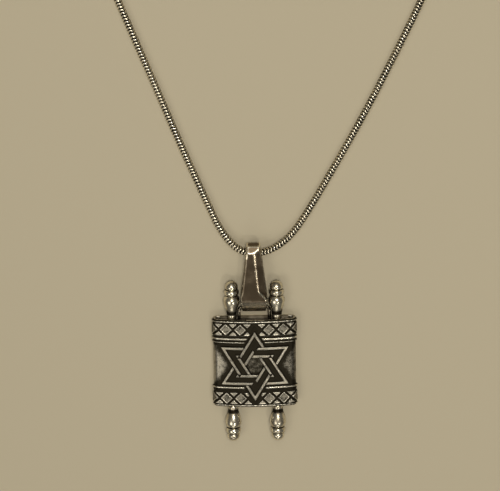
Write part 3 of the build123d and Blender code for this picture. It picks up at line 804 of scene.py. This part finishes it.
BAIL_VOXEL = 0.08 * MM
BAIL_KNEE = 12.2
BAIL_FOLD = 20.6
RIGHT_RIDGE_Y = (12.4, 14.6, 22.1)
RIGHT_RIDGE_X = (2.45, 0.75, 0.2)
LEFT_RIDGE_Y = (14.6, 22.1)
LEFT_RIDGE_X = (-1.95, -1.1)
RIDGE_REACH = 0.45
KNEE_REACH = 0.5
BAIL_FLAT = 0.14
FOOT_PAINTED_REFLECTION = 0.36  # painted reflection, lighter below the knee
FLAT_WEAR = 0.3  # part of the edge wear that the faces show away from the ridge and fold
GENTLE_PASSES = 20  # knee, fold and ridges are bent gently, without a sharp edge
bail_silver = antiqued(
    "bail_silver",
    bright=(0.95, 0.88, 0.72),
    dark=(0.12, 0.092, 0.062),
    patina=(0.40, 0.29, 0.17),
    patch=1.8,
    amount=0.6,
    grain=0.1,
    bump=0.002,
    gloss=0.2,
)
bm = mould_softened("bail", BAIL_VOXEL, 5)
spots = np.array([vert.co for vert in bm.verts]) / MM
from_middle = spots[:, 1] - CASE_Y
right_x = np.interp(from_middle, RIGHT_RIDGE_Y, RIGHT_RIDGE_X)
left_x = np.interp(from_middle, LEFT_RIDGE_Y, LEFT_RIDGE_X)
near_right = (np.abs(spots[:, 0] - right_x) < RIDGE_REACH) * (from_middle > RIGHT_RIDGE_Y[0])
near_left = (np.abs(spots[:, 0] - left_x) < RIDGE_REACH) * (from_middle > BAIL_KNEE)
gentle = near_right + near_left + (from_middle > BAIL_FOLD)
gentle = gentle + (np.abs(from_middle - BAIL_KNEE) < KNEE_REACH)
bent = [vert for vert, chosen in zip(bm.verts, gentle) if chosen]
for _ in range(GENTLE_PASSES):
    bmesh.ops.smooth_vert(
        bm,
        verts=bent,
        factor=0.5,
        use_axis_x=True,
        use_axis_y=True,
        use_axis_z=True,
    )
# under darkens the bail's undersides as painted shade
edge_wear_and_painted_shade(bm, 6, 0.02 * MM, flat=BAIL_FLAT, under=0.2)
relief_and_painted_light = bm.verts.layers.float["relief_and_painted_light"]
# painted reflection: the foot below the knee is lighter
base_and_foot_reflection = BAIL_FLAT + FOOT_PAINTED_REFLECTION * eased(BAIL_KNEE - from_middle, 0.6)
# the fold rubbed bright by wear, and the right ridge lightened as a painted highlight
rubbed_and_painted_light = near_right + (from_middle > BAIL_FOLD)
for vert, base, bright in zip(bm.verts, base_and_foot_reflection, rubbed_and_painted_light):
    if not bright:
        vert[relief_and_painted_light] = base + FLAT_WEAR * (vert[relief_and_painted_light] - BAIL_FLAT)
placed(bm, "folded_bail", "bail", "smooth_silver", bail_silver, "bail")


# ---- Everything that keeps its plain shape: back plate, sliding door and end plates of rolled
# silver, steel rods, pin and spring, the loop, rings and caps of drawn silver, and the rolled
# parchment. Each has faint smears and fine marks from wiping.

SMEAR_SIZE = 1.6 * MM
SMEARED = (0.35, 0.7)
SMEAR_ROUGHER = 0.16
MARK_DEPTH = 0.002 * MM


def wiped_group():
    """Smooth surface with faint smears, and fine marks where it has been wiped."""
    group = bpy.data.node_groups.new("wiped", "ShaderNodeTree")
    for name in ("Rough", "Mark Size"):
        group.interface.new_socket(name=name, in_out="INPUT", socket_type="NodeSocketFloat")
    for name in ("Clean", "Smeared"):
        group.interface.new_socket(name=name, in_out="INPUT", socket_type="NodeSocketColor")
    group.interface.new_socket(name="Color", in_out="OUTPUT", socket_type="NodeSocketColor")
    for name in ("Roughness", "Height"):
        group.interface.new_socket(name=name, in_out="OUTPUT", socket_type="NodeSocketFloat")
    given = group.nodes.new("NodeGroupInput").outputs
    result = group.nodes.new("NodeGroupOutput").inputs
    where = group.nodes.new("ShaderNodeTexCoord").outputs["Object"]
    smears = group.nodes.new("ShaderNodeTexNoise")
    smears.inputs["Scale"].default_value = 1 / SMEAR_SIZE
    smears.inputs["Detail"].default_value = 3.0
    marks = group.nodes.new("ShaderNodeTexNoise")
    marks.inputs["Detail"].default_value = 1.0
    for texture in (smears, marks):
        group.links.new(where, texture.inputs["Vector"])
    group.links.new(math_node(group, "DIVIDE", 1.0, given["Mark Size"]), marks.inputs["Scale"])
    smeared = ramped(group, smears.outputs["Fac"], *SMEARED)
    colour = blended(group, smeared, given["Clean"], given["Smeared"])
    group.links.new(colour, result["Color"])
    uneven = math_node(group, "SUBTRACT", smears.outputs["Fac"], 0.5)
    uneven = math_node(group, "MULTIPLY", uneven, SMEAR_ROUGHER)
    group.links.new(math_node(group, "ADD", uneven, given["Rough"]), result["Roughness"])
    group.links.new(marks.outputs["Fac"], result["Height"])
    return group


WIPED = wiped_group()


def polished(name, clean, smeared, rough, mark=0.05, metal=1.0):
    """Material of a smooth wiped surface; the size of a mark is in millimetres."""
    material = bpy.data.materials.new(name)
    tree, shader = silver_tree(material)
    finish = tree.nodes.new("ShaderNodeGroup")
    finish.node_tree = WIPED
    for socket, value in (
        ("Rough", rough),
        ("Mark Size", mark * MM),
        ("Clean", (*clean, 1.0)),
        ("Smeared", (*smeared, 1.0)),
    ):
        finish.inputs[socket].default_value = value
    raised = tree.nodes.new("ShaderNodeBump")
    raised.inputs["Distance"].default_value = MARK_DEPTH
    tree.links.new(finish.outputs["Height"], raised.inputs["Height"])
    tree.links.new(finish.outputs["Color"], shader.inputs["Base Color"])
    tree.links.new(finish.outputs["Roughness"], shader.inputs["Roughness"])
    tree.links.new(raised.outputs["Normal"], shader.inputs["Normal"])
    shader.inputs["Metallic"].default_value = metal
    return material


# painted shade: the loop's silver is darkened to stand for the shade it lies in
loop_silver_painted_shade = polished("loop_silver_painted_shade", (0.30, 0.26, 0.20), (0.10, 0.085, 0.06), 0.24)
fastening_silver = polished("fastening_silver", (0.74, 0.70, 0.60), (0.44, 0.40, 0.32), 0.27)
blackened = polished("blackened_silver", (0.06, 0.05, 0.038), (0.025, 0.02, 0.015), 0.5)
plate_silver = polished("plate_silver", (0.42, 0.38, 0.30), (0.20, 0.17, 0.12), 0.38)
steel = polished("steel", (0.52, 0.52, 0.50), (0.34, 0.33, 0.31), 0.3)
parchment = polished("parchment", (0.62, 0.50, 0.32), (0.45, 0.35, 0.20), 0.6, metal=0.0)
FINISHES = {
    "hanging_loop": loop_silver_painted_shade,
    "back_plate": plate_silver,
    "top_end_plate": blackened,
    "bottom_end_plate": blackened,
    "back_door": plate_silver,
    "left_roller_rod": steel,
    "right_roller_rod": steel,
    "clasp_pin": steel,
    "clasp_spring": steel,
    "left_end_cap": fastening_silver,
    "right_end_cap": fastening_silver,
    "jump_ring": fastening_silver,
    "end_ring": fastening_silver,
    "parchment_scroll": parchment,
}
for node, material in FINISHES.items():
    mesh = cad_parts[node].data
    mesh.materials.clear()
    mesh.materials.append(material)


# ---- Clasp: a small trigger clasp, its body and lever each cast in silver and tumbled until
# every edge is round. The lever turns on a steel pin and is held shut by a spring.

CLASP_VOXEL = 0.05 * MM
for node, name, body in (
    ("clasp_body", "clasp_casting", "chain"),
    ("clasp_lever", "clasp_thumb", "clasp_lever"),
):
    bm = mould_softened(node, CLASP_VOXEL, 4)
    placed(bm, name, body, "fastening_silver", fastening_silver, node)


# ---- Table and light: a plain pale table top, and soft lamps round it like a window, a
# ceiling and the walls of a room

TABLE_SIZE = 1.5
TABLE_GAP = 0.02 * MM
TABLE_COLOUR = (0.58, 0.52, 0.39)
WARM_WHITE = (1.0, 0.94, 0.82)

bm = bmesh.new()
bmesh.ops.create_grid(bm, x_segments=1, y_segments=1, size=TABLE_SIZE)
bmesh.ops.translate(bm, verts=bm.verts, vec=(0, 0, -TABLE_GAP))
floor_mesh = bpy.data.meshes.new("table")
bm.to_mesh(floor_mesh)
bm.free()
table = bpy.data.objects.new("table", floor_mesh)
scene.collection.objects.link(table)
paper = bpy.data.materials.new("table_top")
tree, shader = silver_tree(paper)
shader.inputs["Base Color"].default_value = (*TABLE_COLOUR, 1.0)
shader.inputs["Roughness"].default_value = 0.75
floor_mesh.materials.append(paper)

world = bpy.data.worlds.new("studio")
scene.world = world
world.use_nodes = True
world.node_tree.nodes["Background"].inputs["Color"].default_value = (0.80, 0.76, 0.66, 1.0)
world.node_tree.nodes["Background"].inputs["Strength"].default_value = 0.15


def softbox(name, place, size, watts):
    """Square area light aimed at the case; place and size are in metres."""
    lamp = bpy.data.lights.new(name, "AREA")
    lamp.size = size
    lamp.energy = watts
    lamp.color = WARM_WHITE
    holder = bpy.data.objects.new(name, lamp)
    aim = (LOOKED_AT - Vector(place)).to_track_quat("-Z", "Y").to_matrix().to_4x4()
    holder.matrix_world = Matrix.Translation(place) @ aim
    scene.collection.objects.link(holder)


window = bpy.data.lights.new("window", "SUN")
window.energy = 0.4
window.angle = math.radians(27)
window.color = WARM_WHITE
window_holder = bpy.data.objects.new("window", window)
facing = Vector((-0.5, -0.3, 0.8)).to_track_quat("Z", "Y")
window_holder.matrix_world = facing.to_matrix().to_4x4()
scene.collection.objects.link(window_holder)
softbox("overhead", (0.04, 0.19, 0.6), 0.16, 1.5)
softbox("back", (0.0, 0.55, 0.6), 0.35, 0.4)
softbox("right", (0.23, -0.29, 0.64), 0.06, 0.5)
softbox("front_wall", (0.0, -0.66, 0.45), 0.35, 0.5)
